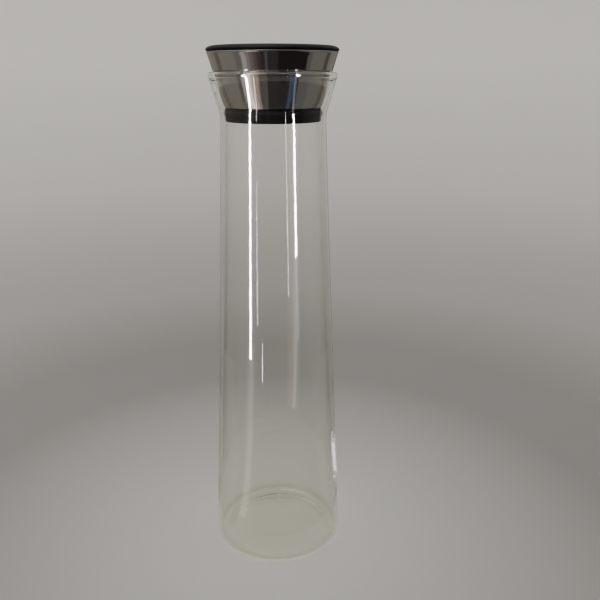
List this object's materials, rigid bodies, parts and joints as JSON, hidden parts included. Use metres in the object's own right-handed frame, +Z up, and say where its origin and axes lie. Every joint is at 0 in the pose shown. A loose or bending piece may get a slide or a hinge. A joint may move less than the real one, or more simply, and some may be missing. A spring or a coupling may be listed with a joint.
{
  "type": "glass water bottle with pouring stopper",
  "caption": "Tall tapered clear-glass water bottle with a flared mouth and a lift-out steel pouring stopper whose flap tips open when the bottle is tilted.",
  "frame": {"origin": "middle of the base, on the surface the bottle stands on", "axes": "+Z up along the bottle's axis, -Y towards the pouring side, +X to the right seen from the front"},
  "size_m": [0.0826, 0.0826, 0.3089],
  "materials": {
    "clear_glass": "clear, fire polished",
    "polished_steel": "polished",
    "plain_steel": "satin",
    "black_plastic": "satin",
    "black_rubber": "matt"
  },
  "bodies": {
    "bottle": {"glass_body": "clear_glass"},
    "seal": {"neck_seal": "black_rubber"},
    "stopper": {"steel_collar": "polished_steel", "pour_ring": "black_plastic", "pouring_core": "black_plastic", "seal_clamp_ring": "black_plastic", "hinge_pin": "plain_steel"},
    "flap": {"flap_plate": "polished_steel", "flap_carrier": "black_plastic", "flap_gasket": "black_rubber", "counterweight": "plain_steel", "counterweight_screw": "plain_steel"}
  },
  "joints": [
    {"name": "stopper_lift", "type": "slide", "parent": "bottle", "child": "seal", "axis": [0, 0, 1], "range_m": [0, 0.06]},
    {"name": "stopper_turn", "type": "hinge", "parent": "seal", "child": "stopper", "pos_m": [0, 0, 0.274], "axis": [0, 0, 1], "continuous": true},
    {"name": "flap_tilt", "type": "hinge", "parent": "stopper", "child": "flap", "pos_m": [0, 0.005, 0.3012], "axis": [-1, 0, 0], "range_deg": [0, 75]}
  ]
}
